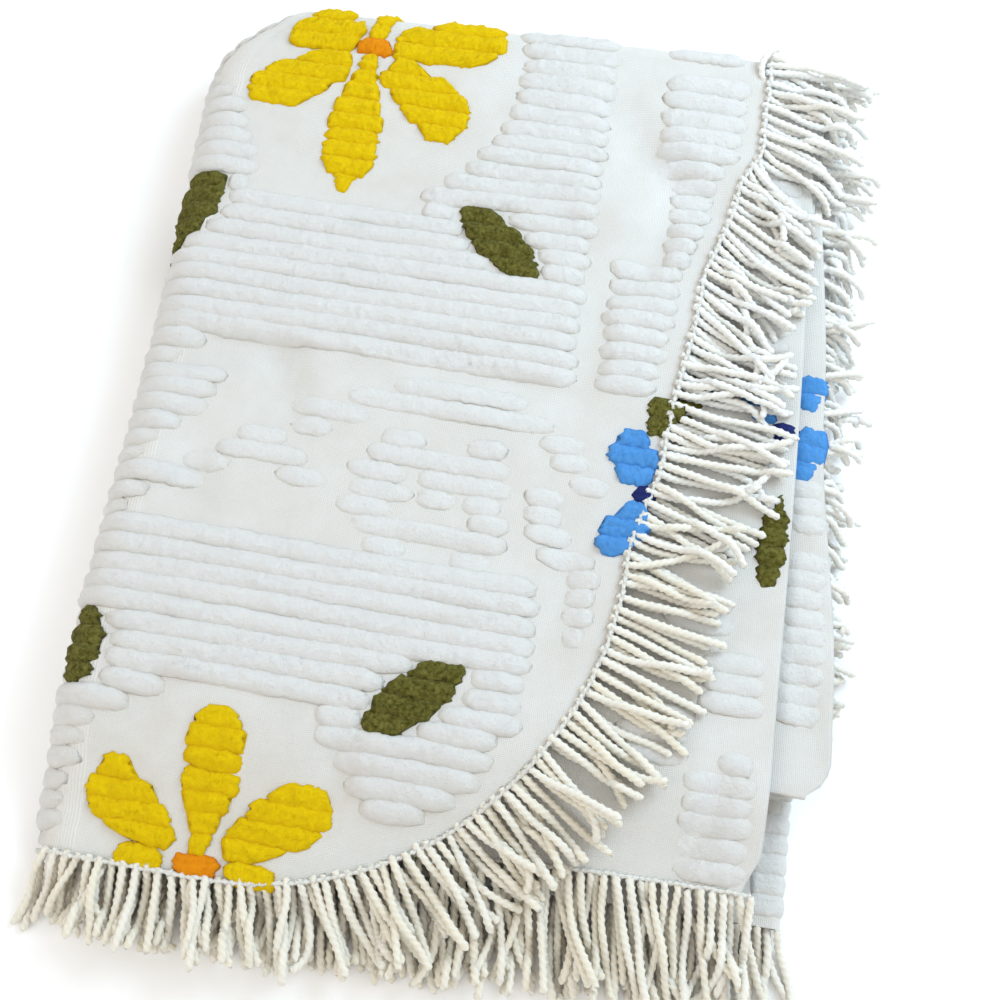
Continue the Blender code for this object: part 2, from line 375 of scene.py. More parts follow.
def chenille(name, low, high, flecks, fleck_share=0.5, sheen=0.35):
    """Cut pile with painted shade: low is the shade painted at the foot of each roll, high its crown; with flecks
    and a fuzzy surface.
    """
    n = Nodes(name)
    place_in = object_space(n)
    crown = n.attribute("crown")
    fine = n.grain(1500, 3, 0.75, place_in)
    tufts = n.grain(330, 4, 0.7, place_in)
    wide = n.grain(60, 3, 0.6, place_in)
    # Painted shade: the colour runs from low at the foot of the roll to high on its crown.
    base = n.blend(n.ramp(crown, 0.02, 0.72), low, high)
    mark = n.maths("MULTIPLY", n.ramp(tufts, 0.66, 0.36), fleck_share)
    base = n.blend(mark, base, flecks)
    base = n.blend(n.maths("MULTIPLY", n.ramp(wide, 0.35, 0.8), 0.25), base, low)
    n.join(base, n.shader.inputs["Base Color"])
    n.shader.inputs["Roughness"].default_value = 1.0
    n.shader.inputs["Specular IOR Level"].default_value = 0.08
    n.shader.inputs["Sheen Weight"].default_value = sheen
    n.shader.inputs["Sheen Roughness"].default_value = 0.45
    normal = n.bump(tufts, 0.0022, 0.8)
    normal = n.bump(fine, 0.0009, 0.9, normal)
    n.join(normal, n.shader.inputs["Normal"])
    return n.material


def cord_yarn():
    n = Nodes("fringe_yarn")
    place_in = object_space(n)
    crown, tone = n.attribute("crown"), n.attribute("tone")
    fibre = n.grain(900, 3, 0.7, place_in)
    wide = n.grain(45, 3, 0.6, place_in)
    # tone mixes cream yarn at 0 and white yarn at 1; the low tone of the front cords is partly painted shade.
    high = n.blend(tone, (0.90, 0.85, 0.73), (0.93, 0.93, 0.91))
    low = n.blend(tone, (0.83, 0.76, 0.62), (0.88, 0.865, 0.82))
    # Painted shade: low colours in the groove between the two plies, high colours on their lobes.
    base = n.blend(n.ramp(crown, 0.1, 0.8), low, high)
    base = n.blend(n.maths("MULTIPLY", n.ramp(wide, 0.45, 0.75), 0.3), base, (0.82, 0.76, 0.64))
    n.join(base, n.shader.inputs["Base Color"])
    n.shader.inputs["Roughness"].default_value = 0.95
    n.shader.inputs["Specular IOR Level"].default_value = 0.12
    n.shader.inputs["Sheen Weight"].default_value = 0.25
    n.shader.inputs["Sheen Roughness"].default_value = 0.5
    n.shader.inputs["Subsurface Weight"].default_value = 0.25
    n.shader.inputs["Subsurface Radius"].default_value = (1.0, 0.9, 0.75)
    n.shader.inputs["Subsurface Scale"].default_value = 0.004
    n.join(n.bump(fibre, 0.0010, 0.9), n.shader.inputs["Normal"])
    return n.material


MUSLIN = muslin()
# Pile colours: painted shade at the foot of each roll, colour on its crown, flecks, share of flecks, sheen weight.
PILE = {
    "white": chenille("pile_white", (0.75, 0.72, 0.655), (0.85, 0.845, 0.83), (0.78, 0.765, 0.73), 0.4, 0.2),
    "yellow": chenille("pile_yellow", (0.72, 0.43, 0.002), (0.92, 0.66, 0.004), (0.80, 0.52, 0.003), 0.6, 0.02),
    "orange": chenille("pile_orange", (0.74, 0.20, 0.003), (0.92, 0.33, 0.008), (0.85, 0.26, 0.005), 0.5, 0.02),
    "olive": chenille("pile_olive", (0.012, 0.010, 0.0006), (0.064, 0.060, 0.006), (0.27, 0.25, 0.062), 0.75, 0.03),
    "blue": chenille("pile_blue", (0.03, 0.17, 0.52), (0.085, 0.33, 0.78), (0.16, 0.43, 0.84), 0.5, 0.03),
    "navy": chenille("pile_navy", (0.004, 0.006, 0.05), (0.016, 0.024, 0.14), (0.04, 0.06, 0.24), 0.5, 0.03),
}
YARN = cord_yarn()


# ======================================================================== cloth
def spread(parts):
    """Stops from (end, step) pairs, starting at the first end."""
    stops = [parts[0][0]]
    for end, step in parts[1:]:
        count = max(1, round((end - stops[-1]) / step))
        stops += list(np.linspace(stops[-1], end, count + 1)[1:])
    return stops


def cloth_surface():
    turn = [CORNER_R * (1 - math.cos(math.radians(a))) for a in np.arange(0, 90, 3.0)]
    rows = turn + spread(((CORNER_R, 0), (RUN_W2, 8.5), (RUN_W2 + ARC_W2, 2.1)))
    rows += spread(((RUN_W2 + ARC_W2, 0), (RUN_W1 - 60, 22.0), (RUN_W1, 8.0)))[1:]
    rows += spread(((RUN_W1, 0), (RUN_W1 + math.pi * R_W1, 1.05)))[1:-1]
    half = [v for v in rows if v < WIDTH / 2 - 0.2]
    rows = np.array(half + [WIDTH - v for v in reversed(half)])
    ends = [(0.0, s) for s in np.concatenate([[1, 0.995, 0.985], np.linspace(0.972, 0.03, 36)])]
    turn = [(u, 0.0) for u in spread(((RUN_L2, 0), (RUN_L2 + ARC_L2, 3.2)))]
    low = [(u, 0.0) for u in spread(((RUN_L2 + ARC_L2, 0), (RUN_L1 - 40, 24.0), (RUN_L1, 8.0)))[1:]]
    last = [(u, 0.0) for u in spread(((RUN_L1, 0), (LENGTH / 2, 1.05)))[1:]]
    foot = ends + turn + low + last
    columns = foot + [(LENGTH - u, -s) for u, s in reversed(foot[:-1])]
    v, u = np.meshgrid(rows, [c[0] for c in columns], indexing="ij")
    share = np.broadcast_to([c[1] for c in columns], u.shape)
    hem = TOP_REACH - foot_x(side_trim(np.zeros(v.shape), v))
    u = np.where(share > 0, RUN_L2 + (hem - RUN_L2) * share, u)
    start = LENGTH - RUN_L2
    head = LENGTH - (TOP_REACH - along(HEAD_HEM, v))
    u = np.where(share < 0, start + (head - start) * -share, u)
    return u, side_trim(u, v), share, v


def puckers(u, v):
    """Slack and puckers in bare cloth, out of its plane."""
    slack = 0.55 * noise(u / 34, v / 26, 3) + 0.30 * noise(u / 13, v / 15, 4)
    return 1.2 * slack + 0.10 * noise(u / 5, v / 5, 5)


def make_cloth():
    u, v, share, row_v = cloth_surface()
    to_hem = np.minimum.reduce([np.minimum(v, WIDTH - v), np.full(u.shape, 1e3)])
    head = LENGTH - (TOP_REACH - along(HEAD_HEM, row_v))
    foot = TOP_REACH - foot_x(v)
    hem_strip = ease((10.5 - (head - u)) / 1.2)
    near_foot = np.minimum(u - foot, to_hem)
    soft = puckers(u, v) * ease((u - foot) / 12) * ease((head - u) / 14)
    fold_v = np.abs(v - WIDTH / 2) < 8
    fold_u = np.abs(u - LENGTH / 2) < 12
    soft = np.where(fold_v | fold_u, 0, soft) * 0.8
    upper = -0.05 + soft + 0.75 * hem_strip + 0.25 * ease((5 - near_foot) / 2)
    lower = -1.05 + 0.9 * soft - 0.25 * hem_strip
    rows, columns = u.shape
    top, under = place(u, v, upper), place(u, v, lower)
    for side in (top, under):
        side[..., 2] = np.maximum(side[..., 2], 0.02)
    points = np.concatenate([top.reshape(-1, 3), under.reshape(-1, 3)])
    count = rows * columns
    faces = [f[::-1] for f in grid_faces(rows, columns)]
    faces += grid_faces(rows, columns, count)
    edge = [i for i in range(columns)]
    edge += [j * columns + columns - 1 for j in range(1, rows)]
    edge += [(rows - 1) * columns + i for i in range(columns - 2, -1, -1)]
    edge += [j * columns for j in range(rows - 2, 0, -1)]
    for a, b in zip(edge, edge[1:] + edge[:1]):
        faces.append((a, b, b + count, a + count))
    uv = np.stack([u.ravel(), v.ravel()], -1) * 0.001
    return make_piece("spread_cloth", points, faces, MUSLIN, np.concatenate([uv, uv]))


# ================================================================ tufted design
PITCH = 13.2
ROW_WIDE = 16.4
ROW_HIGH = 4.5


def petal(x, y, cx, cy, angle, inner, outer, wide, base):
    """True inside a petal that starts at inner and ends at outer from a centre."""
    c, s = math.cos(math.radians(angle)), math.sin(math.radians(angle))
    r = (x - cx) * c + (y - cy) * s
    q = -(x - cx) * s + (y - cy) * c
    t = np.clip((r - inner) / (outer - inner), 0, 1)
    tip = np.sqrt(np.clip(1 - (np.clip(t - 0.66, 0, 1) / 0.34) ** 2.6, 0, 1))
    half = 0.5 * wide * (base + (1 - base) * ease(t / 0.55)) * tip
    return (r > inner) & (r < outer) & (np.abs(q) < half)


def daisy(cx, cy, petals):
    shapes = [("yellow", lambda x, y, p=p: petal(x, y, cx, cy, *p)) for p in petals]
    shapes.append(("orange", lambda x, y: ((x - cx) / 15.5) ** 2 + ((y - cy) / 9.0) ** 2 < 1))
    return shapes


def leaf(cx, cy, angle, long, wide):
    c, s = math.cos(math.radians(angle)), math.sin(math.radians(angle))

    def inside(x, y):
        r, q = (x - cx) * c + (y - cy) * s, -(x - cx) * s + (y - cy) * c
        t = np.clip(np.abs(2 * r / long), 0, 1)
        return (np.abs(2 * r) < long) & (np.abs(q) < 0.5 * wide * (1 - t**2.2) ** 0.75)

    return [("olive", inside)]


def blot(colour, cx, cy, rx, ry, lean=0.0):
    return [(colour, lambda x, y: ((x - cx - lean * (y - cy)) / rx) ** 2 + ((y - cy) / ry) ** 2 < 1)]


UPPER_DAISY, LOWER_DAISY = (-149.0, 354.0), (-161.0, -262.0)
MOTIFS_T = (
    # Each petal: direction, start, end, width, and how wide its foot is.
    daisy(*UPPER_DAISY, ((90, 12, 108, 44, 0.4), (-91, 9, 118, 42, 0.34), (13, 17, 106, 42, 0.5),
                         (163, 16, 88, 44, 0.6), (-37, 21, 100, 43, 0.6), (-147, 19, 101, 41, 0.6)))
    + daisy(*LOWER_DAISY, ((88, 10, 97, 39, 0.36), (32, 19, 95, 39, 0.45), (151, 20, 89, 39, 0.42),
                           (-6, 18, 54, 14, 0.6), (188, 22, 56, 15, 0.6)))
    + leaf(-29, 204, -40, 84, 33)
    + leaf(-36, -138, 43, 82, 33)
    + leaf(-262, 190, 62, 92, 34)
    + leaf(-251, -140, 90, 62, 17)
    + leaf(111, 106, 70, 82, 28)
    + blot("blue", 88, 51, 18, 18, -0.15)
    + blot("blue", 86, -2, 16, 19, 0.45)
    + blot("navy", 97, 25, 9, 5)
    + leaf(92, -46, 0, 15, 12)
)
MOTIFS_S = (
    leaf(124, 110, 75, 44, 20)
    + blot("navy", 113, 19, 10, 5)
    + blot("blue", 170, 113, 14, 8)
    + blot("blue", 176, 100, 11, 7)
    + blot("navy", 191, 90, 9, 5)
    + blot("navy", 140, 118, 10, 7)
    + leaf(189, 8, 86, 68, 22)
    + leaf(184, 152, 10, 22, 12)
)
MOTIFS_U = (
    blot("blue", 208, 131, 14, 12)
    + blot("blue", 209, 84, 14, 22, 0.2)
    + blot("navy", 196, 94, 7, 6)
)

# White rows of the top layer, in blocks. Daisies keep a bare oval round them.
BLOCKS_T = (
    # part of the design,   y from, y to, x from, x to
    ("upper band", 103.0, 222.0, -289.0, 40.0),
    ("beside upper daisy", 222.0, 374.0, -92.0, 43.0),
    ("lower band", -152.0, -50.0, -289.0, 36.0),
    ("beside lower daisy", -206.0, -152.0, -97.0, 22.0),
    ("under lower band", -222.0, -206.0, -62.0, -8.0),
    ("back right", 282.0, 356.0, 78.0, 146.0),
    ("right, upper", 205.0, 282.0, 91.0, 132.0),
    ("right, lower", 98.0, 200.0, 54.0, 112.0),
    ("by the corner", -142.0, -45.0, 52.0, 88.0),
)
BARE_T = (
    # centre x, centre y, half width, half height
    (UPPER_DAISY[0] + 4, UPPER_DAISY[1] - 4, 112.0, 126.0),
    (LOWER_DAISY[0] - 2, LOWER_DAISY[1], 108.0, 114.0),
)
# Short rows of the bare middle, by their distance y and ends x.
SHORT_T = (
    (92.0, ((-289, -227),)),
    (79.0, ((-289, -244), (-90, 10))),
    (66.0, ((-289, -208), (-119, 31))),
    (52.0, ((-289, -212), (-161, -97), (21, 53))),
    (39.0, ((-289, -216), (-156, -122), (-91, -55), (-31, 0), (29, 61))),
    (26.0, ((-289, -229), (-193, -153), (-98, 4), (47, 74))),
    (13.0, ((-289, -240), (-201, -136), (-110, -64), (-58, 7), (18, 45))),
    (0.0, ((-289, -252), (-224, -188), (-155, -117), (-108, -60), (-56, -29), (-24, 4), (18, 47))),
    (-14.0, ((-289, -205), (-112, -69), (-20, 8), (21, 53))),
    (-27.0, ((-289, -238), (-98, 12), (31, 71))),
    (-40.0, ((-289, -246), (-91, -55), (-32, 4), (49, 88))),
)
BLOCKS_S = (
    ("upper", 150.0, 375.0, 150.0, 192.0),
    ("middle", -60.0, -28.0, 120.0, 168.0),
    ("by the hem", -112.0, -70.0, 146.0, 193.0),
    ("lower", -150.0, -118.0, 96.0, 146.0),
    ("near the front", -158.0, -134.0, 164.0, 190.0),
    ("front", -232.0, -158.0, 142.0, 192.0),
)
BLOCKS_U = (
    ("upper", 150.0, 375.0, 190.0, 228.0),
    ("middle", 20.0, 66.0, 197.0, 232.0),
    ("lower", -112.0, 8.0, 197.0, 232.0),
)


def spans_inside(test, y, low, high):
    x = np.arange(low, high, 0.5)
    inside = np.concatenate([[False], test(x, np.full(x.shape, y)), [False]])
    change = np.flatnonzero(np.diff(inside.astype(int)))
    return [(x[a], x[min(b, len(x) - 1)]) for a, b in zip(change[::2], change[1::2])]


def outline(test, y, a, b, low, high):
    """Ends of a row's near side, middle and far side, so its motif keeps its shape."""
    ends = []
    for off in (-0.5 * PITCH, 0.0, 0.5 * PITCH):
        near = [s for s in spans_inside(test, y + off, low, high)
                if s[0] < b and s[1] > a and s[1] - s[0] > 3]
        if near:
            ends.append(max(near, key=lambda s: min(s[1], b) - max(s[0], a)))
        else:
            middle, half = (a + b) / 2, 0.30 * (b - a)
            ends.append((middle - half, middle + half))
    near, middle, far = ends
    soften = lambda end: tuple(0.62 * e + 0.38 * m for e, m in zip(end, middle))
    return soften(near), middle, soften(far)


def cut_rows(rows, blocks, bare, short, motifs, low, high, limit):
    """Row pieces (y, x from, x to, colour) of a layer's design."""
    found = []
    for y in rows:
        taken = []
        for colour, test in motifs:
            for a, b in spans_inside(test, y, low, high):
                if b - a > 5 and limit(np.array([(a + b) / 2]), y, 3)[0]:
                    found.append((y, a, b, colour, outline(test, y, a, b, low, high)))
                    taken.append((a - 2, b + 2))
        x = np.arange(low, high, 0.5)
        white = np.zeros(x.shape, bool)
        for _, y0, y1, x0, x1 in blocks:
            if y0 <= y <= y1:
                white |= (x > x0) & (x < x1)
        nearest = min(short, key=lambda s: abs(s[0] - y)) if short else None
        if nearest and abs(nearest[0] - y) < PITCH / 2:
            for a, b in nearest[1]:
                white |= (x > a) & (x < b)
        for cx, cy, rx, ry in bare:
            edge = ((x - cx) / rx) ** 2 + ((y - cy) / ry) ** 2
            white &= edge > 1
        if bare:
            wide = 24 * ease((330 - y) / 90) * (y > 222) + (5 + 40 * ease((y + 196) / 44)) * (y < -152)
            white |= x < -247 + wide + 5 * math.sin(y / 31) + 3 * math.sin(y / 9)
        for a, b in taken:
            white &= (x < a) | (x > b)
        white &= limit(x, y, 14)
        change = np.flatnonzero(np.diff(np.concatenate([[0], white.astype(int), [0]])))
        for a, b in zip(change[::2], change[1::2]):
            if x[b - 1] - x[a] > 14:
                found.append((y, x[a], x[b - 1], "white", None))
    return found


def row_mesh(pieces, seed, around=9, rough_by=1.0):
    """Tufted rows as soft rolls from row_piece."""
    points, faces, crown, uv = [], [], [], []
    start = 0
    angle = np.linspace(0, math.pi, around)
    for piece in pieces:
        high, wide, run = piece["high"], piece["wide"], piece["run"]
        end = np.minimum(run, run[-1] - run)
        cap = np.sqrt(np.clip(1 - (1 - np.clip(end / piece["cap"], 0, 1)) ** 2, 0.03, 1))
        cap = cap ** piece["soft"]
        thin = piece["thin"]
        side = -np.cos(angle)[None, :] * (0.5 * wide * (thin + (1 - thin) * cap))[:, None]
        lift = np.sin(angle)[None, :] ** 1.25 * (high * cap)[:, None]
        across = np.clip(2 * side / PITCH, -1.1, 1.1)
        uu, vv = piece["at"](run[:, None], across, side)
        rough = 0.10 * noise(uu / 5.5, vv / 4.5, seed) + 0.13 * noise(uu / 1.9, vv / 1.9, seed + 1)
        jut = 0.45 * noise(uu / 4, vv / 30, seed + 2) + 0.35 * noise(uu / 1.9, vv / 9, seed + 4)
        jut = jut * np.abs(np.cos(angle))[None, :]
        slip = 0.5 * noise(uu / 4, vv / 4, seed + 3) + 0.9 * noise(uu / 9, vv / 1.9, seed + 5)
        slip = slip * np.exp(-(end / 4.0))[:, None]
        out = -0.45 + lift * (1 + rough_by * rough)
        ring = place(uu + rough_by * slip, vv + rough_by * jut, out)
        ring[..., 2] = np.maximum(ring[..., 2], 0.05)
        n = len(run)
        points.append(ring.reshape(-1, 3))
        # crown: height across the roll, 0 at its foot; the pile material paints shade from it.
        crown.append((np.sin(angle)[None, :] * cap[:, None]).ravel())
        uv.append(np.stack([uu, vv], -1).reshape(-1, 2) * 0.001)
        faces += grid_faces(n, around, start, wrap=True)
        faces.append(tuple(range(start + around - 1, start - 1, -1)))
        last = start + (n - 1) * around
        faces.append(tuple(range(last, last + around)))
        start += n * around
    return np.concatenate(points), faces, np.concatenate(crown), np.concatenate(uv)


def row_piece(layer, y, x0, x1, rng, high, squeeze=1.0, step=2.4, taper=None, ends=None,
              wide=ROW_WIDE):
    """One tufted row between two charted places of a layer."""
    if ends is None:
        x0, x1 = x0 + rng.uniform(-2.2, 2.2), x1 + rng.uniform(-2.2, 2.2)
        ends = ((x0, x1),) * 3
    long = x1 - x0
    run = np.linspace(0, long, max(7, int(long / step)))
    x = x0 + run
    swell = 1 + 0.10 * noise(x / 17, y / 5, 12)
    tall = high * swell * (taper(x, y) if taper else 1.0)

    def at(run, across, side):
        share = run / long
        cuts = []
        for k in (0, 1):
            near, middle, far = (e[k] for e in ends)
            curve, slope = (near + far) / 2 - middle, (far - near) / 2
            cuts.append(middle + slope * across + curve * across**2)
        xx = cuts[0] + (cuts[1] - cuts[0]) * share
        wander = 0.7 * np.sin(xx / 48 + 0.35 * y) + 0.6 * noise(xx / 22, y / 9, 11)
        return layer(xx, y + (wander + side) * squeeze)

    return {
        "at": at,
        "high": np.broadcast_to(tall, run.shape),
        "wide": wide * (0.97 + 0.04 * noise(x / 12, y / 5, 13)),
        "run": run,
        "cap": min(16.0, 0.4 * long) if ends[0] == ends[2] else 4.5,
        "soft": 1.35 if ends[0] == ends[2] else 1.0,
        "thin": 0.36 if ends[0] == ends[2] else 0.66,
    }


def flat_piece(u, v, high, wide, run, squeeze=1.0):
    """A tufted row given straight in flat cloth."""
    long = run[-1]

    def at(run, across, side):
        share = run[:, 0] / long
        k = share * (len(u) - 1)
        uu = np.interp(k, np.arange(len(u)), u)[:, None]
        vv = np.interp(k, np.arange(len(u)), v)[:, None]
        return np.broadcast_to(uu, side.shape), vv + side * squeeze

    return {"at": at, "high": high, "wide": wide, "run": run, "cap": 6.0, "soft": 1.0, "thin": 0.6}


def turn_taper(x, y):
    """Rows flatten where the left and back folds tuck under."""
    left = 1 - ease(((X_TURN - x) / R_L2 - 2.2) / 0.8)
    back = 1 - ease(((y - Y_TURN) / R_W2 - 2.0) / 0.9)
    return left * back


def in_top(x, y, clear):
    return (past_top(x, y) < -clear) & (y - FRONT > HEM_IN + min(clear, 4))


def past_top(x, y, by=4.0):
    """How far a place on S is clear of the top layer's hem."""
    v = np.clip(y - FRONT, 0, RUN_W2)
    if v < CORNER_R + HEM_IN:
        dx, dy = x - CORNER_X, min(0.0, y - (FRONT + HEM_IN + CORNER_R))
        return np.hypot(np.maximum(dx, 0), dy) - CORNER_R
    return x - foot_x(np.array(v))


def tufts():
    rng = np.random.default_rng(71)
    found = {}

    def add(kind, *pieces):
        found.setdefault(kind, []).extend(pieces)

    rows = [FRONT + HEM_IN + 7.6 + PITCH * k for k in range(50)]
    rows = [y for y in rows if y < Y_TURN - 2]
    for y, a, b, colour, ends in cut_rows(rows, BLOCKS_T, BARE_T, SHORT_T, MOTIFS_T, -291, 170,
                                          in_top):
        low = colour == "white" and (-56 < y < 100 and a > -230 or y < -40 and a > 50)
        add(colour if colour != "white" else "white_top",
            row_piece(on_t, y, a, b, rng, 2.8 if low else ROW_HIGH, taper=turn_taper, ends=ends,
                      step=1.9 if colour == "white" else 1.05, wide=15.4 if low else ROW_WIDE))
    # Over the back fold the outer cloth is longer, so the rows are closer in v.
    tight = R_W2 / (R_W2 + R_L1 + R_W1)
    over = [rows[-1] + PITCH * 0.5 + PITCH * tight * (k + 0.5) for k in range(4)]
    for k, y in enumerate(over):
        seen = Y_TURN + (y - Y_TURN) / tight
        pieces = cut_rows([seen], (("back", 0, 900, -289, 43), ("back right", 0, 900, 78, 143)),
                          (BARE_T[0],), (), MOTIFS_T, -291, 170,
                          lambda x, y, clear: (x < 140) & (x > -289))
        for _, a, b, colour, _ in pieces:
            add(colour if colour != "white" else "white_top",
                row_piece(on_t, y, a, b, rng, ROW_HIGH, squeeze=tight, taper=turn_taper))
    # Second and third layers, where they show.
    for y, a, b, colour, ends in cut_rows(
            rows, BLOCKS_S, (), (), MOTIFS_S, 0, 200,
            lambda x, y, clear: (past_top(x, y) > -6) & (x < 206 - clear) & (y > -214)):
        add(colour if colour != "white" else "white_under",
            row_piece(on_s, y, a, b, rng, 3.6, ends=ends,
                      taper=lambda x, y: 0.3 + 0.7 * ease((past_top(x, y) + 4) / 14)))
    for y, a, b, colour, ends in cut_rows(
            [y + 3 for y in rows], BLOCKS_U, (), (), MOTIFS_U, 192, 236,
            lambda x, y, clear: (x > 194) & (x < 205 + 31 * ease((220 - y) / 300)) & (y > -150)):
        add(colour if colour != "white" else "white_under",
            row_piece(on_u, y, a, b, rng, 3.0, ends=ends,
                      taper=lambda x, y: 0.35 + 0.65 * ease((x - 198) / 9)))
    # Rows round the low right folds.
    arc = math.pi * R_L1
    for v in np.arange(60.0, RUN_W1 - 8, PITCH):
        if RUN_W2 - 10 < v < RUN_W2 + ARC_W2 + 10:
            continue
        low = v < RUN_W2
        x0, x1 = RUN_L1 - 3.0, RUN_L1 + arc + (16.0 if low and v < 120 else 3.0)
        u = np.linspace(x0, x1, 22)
        turned = np.clip((u - RUN_L1) / R_L1, 0, math.pi)
        tall = 2.6 * np.sin(turned) ** 0.6
        if low and v < 120:
            tall = np.where(turned > 1.57, 2.6 + 0 * tall, tall)
        add("white_under", flat_piece(u, np.full(u.shape, v), np.maximum(tall, 0.15),
                                      np.full(u.shape, ROW_WIDE * 0.9), (u - x0) * 1.6))
    # Rows along the back fold of the lower half.
    for k in range(4):
        v = RUN_W2 + ARC_W2 * (k + 0.5) / 4
        turned = (v - RUN_W2) / R_W2
        u = np.linspace(RUN_L2 + ARC_L2 + 4, RUN_L1 - 8, 150)
        add("white_under", flat_piece(u, np.full(u.shape, v) + 0.4 * np.sin(u / 40),
                                      np.full(u.shape, 3.4 * math.sin(turned) ** 0.5),
                                      np.full(u.shape, ROW_WIDE * 0.92), u - u[0], tight))

    made = []
    for k, kind in enumerate(sorted(found)):
        white = kind.startswith("white")
        material = PILE[kind.split("_")[0]]
        groups = [found[kind]]
        if kind == "white_top":
            half = len(groups[0]) // 2
            groups = [groups[0][:half], groups[0][half:]]
        for number, group in enumerate(groups):
            points, faces, crown, uv = row_mesh(group, 20 + 7 * k, 11 if white else 17,
                                                1.45 if white else 2.1)
            name = f"pile_{kind}_{number + 1}" if len(groups) > 1 else f"pile_{kind}"
            made.append(make_piece(name, points, faces, material, uv, {"crown": crown}))
    return made


# ======================================================================= fringe
CORD_R = 3.05
CORD_LONG = 84.0
TWIST = 10.5
GRID = 2.0
GX, GY = -330.0, -400.0
NX, NY = 340, 430


class Ground:
    """Height of what lies under the next cord."""

    def __init__(self):
        self.high = np.zeros((NX, NY))

    def cloth(self, u, v, out):
        p = place(u, v, out).reshape(-1, 3)
        i = np.clip(((p[:, 0] - GX) / GRID).astype(int), 0, NX - 1)
        j = np.clip(((p[:, 1] - GY) / GRID).astype(int), 0, NY - 1)
        np.maximum.at(self.high, (i, j), p[:, 2])

    def at(self, x, y):
        i, j = int((x - GX) / GRID), int((y - GY) / GRID)
        return self.high[min(max(i, 0), NX - 1), min(max(j, 0), NY - 1)]

    def lay(self, path, radius):
        for x, y, z in path[::1]:
            i, j = int(round((x - GX) / GRID)), int(round((y - GY) / GRID))
            for a in (-1, 0, 1):
                for b in (-1, 0, 1):
                    top = z + radius * (1.0 if a == b == 0 else 0.72 if a * b == 0 else 0.3)
                    if self.high[i + a, j + b] < top:
                        self.high[i + a, j + b] = top


def lay_cord(ground, root, heading, rng, long, radius=CORD_R, stiff=11.0, rise=0.0):
    """The path of one loose cord from its hem, over what lies under it."""
    step = 2.0
    x, y, z = root
    curl = rng.normal(0, 1 / 260)
    hook = rng.normal(0, 1 / 60) if rng.random() < 0.25 else 0.0
    wag, phase = rng.normal(0, 0.008), rng.uniform(0, 6.3)
    pitch = rise
    path = [(x, y, z)]
    count = int(long / step)
    for k in range(count):
        heading += step * (curl + wag * math.sin(k * step / 9 + phase))
        if y > 366 and math.sin(heading) > -0.15:
            heading -= 0.16
        if k > 0.55 * count:
            heading += step * hook
        hx, hy = math.cos(heading), math.sin(heading)
        under = max(ground.at(x, y), ground.at(x + 5 * hx, y + 5 * hy)) + radius - 0.7
        gap = z - under
        if gap > 0:
            want = -min(1.25, math.atan(gap / 8.0))
        else:
            want = min(0.6, math.atan(-gap / 6.0))
        pitch += max(-step / stiff, min(step / stiff, want - pitch))
        flat = step * math.cos(pitch)
        x, y, z = x + flat * hx, y + flat * hy, z + step * math.sin(pitch)
        floor = ground.at(x, y) + radius - 1.0
        if z < floor:
            z = min(floor, z + 1.6, root[2] + 8.0)
        z = min(max(z, radius + 0.05), 70.0)
        path.append((x, y, z))
    path = np.array(path)
    for _ in range(2):
        path[1:-1, 2] = 0.25 * path[:-2, 2] + 0.5 * path[1:-1, 2] + 0.25 * path[2:, 2]
    path[:, 2] = np.maximum(path[:, 2], radius + 0.05)
    ground.lay(path, radius)
    return path


def cord_mesh(paths, rng, radius=CORD_R, twist=TWIST, sides=6, step=None, tones=None, lobes=0.85):
    """Two-ply twisted cords: a lobed section that turns along each path."""
    step = step or (twist / 8.6)
    points, faces, crown, tone = [], [], [], []
    start = 0
    around = 2 * math.pi * np.arange(sides) / sides
    lobe = lobes + (1 - lobes) * np.cos(2 * around)
    for k, path in enumerate(paths):
        seg = np.linalg.norm(np.diff(path, axis=0), axis=1)
        at = np.concatenate([[0], np.cumsum(seg)])
        n = max(6, int(at[-1] / step))
        s = np.linspace(0, at[-1], n)
        p = np.stack([np.interp(s, at, path[:, c]) for c in range(3)], -1)
        p[1:-1] = 0.25 * p[:-2] + 0.5 * p[1:-1] + 0.25 * p[2:]
        t = np.gradient(p, axis=0)
        t /= np.linalg.norm(t, axis=1)[:, None]
        side = np.cross(t, [0, 0, 1.0])
        side /= np.maximum(np.linalg.norm(side, axis=1), 1e-6)[:, None]
        up = np.cross(side, t)
        size = radius * (1 + 0.06 * np.sin(s / 7 + k) + 0.05 * rng.uniform(-1, 1))
        end = np.clip((at[-1] - s) / 3.2, 0, 1)
        size = size * np.sqrt(np.clip(1 - (1 - end) ** 2, 0.08, 1))
        size[:2] *= (0.75, 0.92)
        turn = 2 * math.pi * s / twist + rng.uniform(0, 6.28)
        a = around[None, :] + turn[:, None]
        ring = (
            p[:, None, :]
            + side[:, None, :] * (np.cos(a) * lobe)[..., None] * size[:, None, None]
            + up[:, None, :] * (np.sin(a) * lobe)[..., None] * size[:, None, None]
        )
        ring[..., 2] = np.maximum(ring[..., 2], 0.03)
        points.append(ring.reshape(-1, 3))
        # crown: 1 on the plies' lobes, 0 in the groove between them, where the yarn material paints shade.
        crown.append(np.broadcast_to(0.5 + 0.5 * np.cos(2 * around), (n, sides)).ravel())
        # Creamer towards the front left, whiter towards the back right: partly the yarn's own cream, partly painted
        # shade of the front fringe.
        white = 0.08 + 0.77 * float(ease((p[0, 0] + 0.6 * p[0, 1] + 60) / 260))
        shade = tones[k] if tones is not None else white + rng.uniform(-0.25, 0.25)
        tone.append(np.full(n * sides, shade))
        faces += grid_faces(n, sides, start, wrap=True)
        faces.append(tuple(range(start + sides - 1, start - 1, -1)))
        last = start + (n - 1) * sides
        faces.append(tuple(range(last, last + sides)))
        start += n * sides
    return np.concatenate(points), faces, np.concatenate(crown), np.concatenate(tone)


